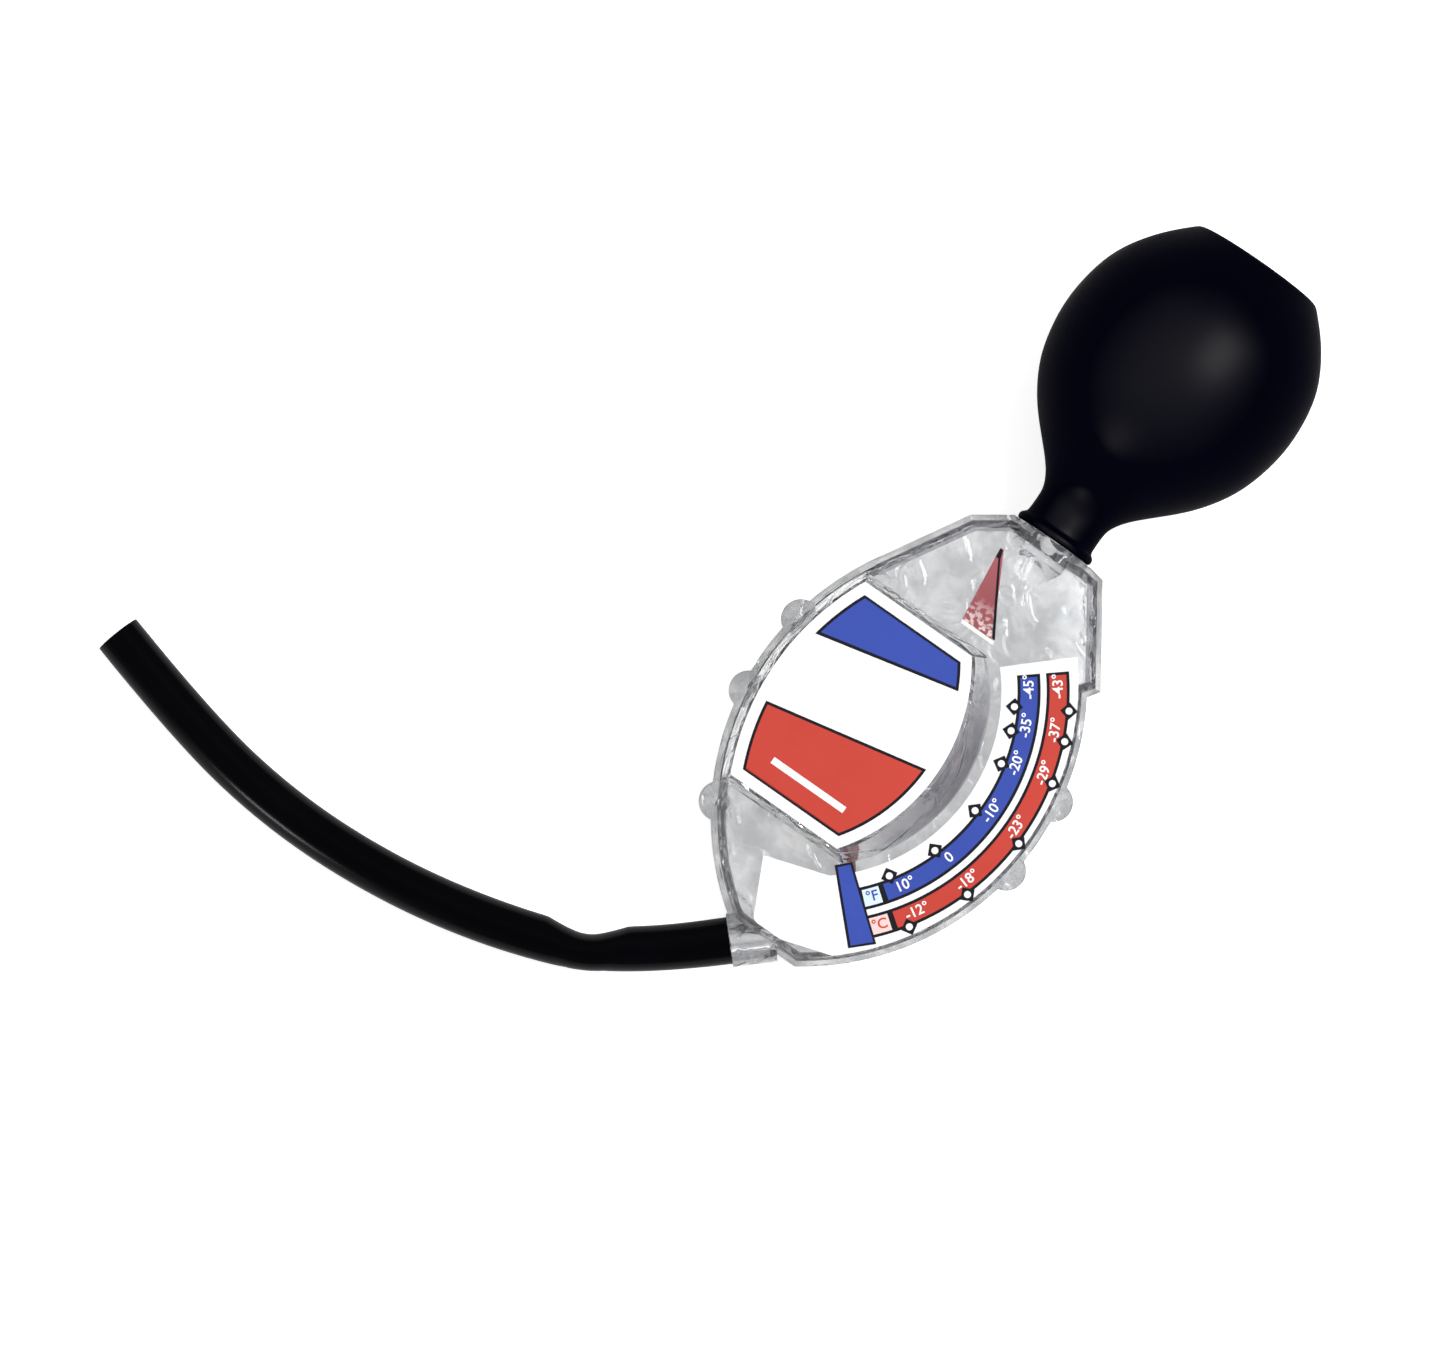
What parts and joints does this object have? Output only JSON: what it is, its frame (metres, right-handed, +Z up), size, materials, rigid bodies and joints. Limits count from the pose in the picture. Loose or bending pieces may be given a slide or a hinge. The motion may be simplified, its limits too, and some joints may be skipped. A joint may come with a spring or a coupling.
{
  "type": "antifreeze tester",
  "caption": "Dial antifreeze tester with a clear housing, swinging float pointer, rubber squeeze bulb and suction hose.",
  "frame": {"origin": "on the table, under the middle of the tester's box, hose left out", "axes": "+Z up with the tester on its back and its dial up; +Y towards the bulb; +X to the right of the dial. The dial plane is tilted 7.1 degrees about X, because the bulb lifts its end."},
  "size_m": [0.1779, 0.2058, 0.0527],
  "materials": {
    "clear_plastic": "clear, polished",
    "black_rubber": "satin",
    "label_film": "satin film, printed",
    "red_film": "gloss film",
    "red_plastic": "moulded",
    "float_plastic": "moulded",
    "white_plastic": "moulded",
    "brass": "turned",
    "steel": "ground"
  },
  "bodies": {
    "housing": {"front_shell": "clear_plastic", "back_shell": "clear_plastic", "pivot_pin": "steel", "front_washer": "white_plastic", "back_washer": "white_plastic", "squeeze_bulb": "black_rubber", "suction_hose": "black_rubber", "scale_label": "label_film", "badge_label": "label_film", "fill_mark": "red_film"},
    "pointer": {"pointer_arm": "red_plastic", "pivot_bush": "brass", "float_block": "float_plastic", "balance_weight": "brass"}
  },
  "joints": [
    {"name": "pointer_swing", "type": "hinge", "parent": "housing", "child": "pointer", "pos_m": [-0.0202, -0.03019, 0.01446], "axis": [0, -0.1243, 0.9922], "range_deg": [0, 83]}
  ]
}
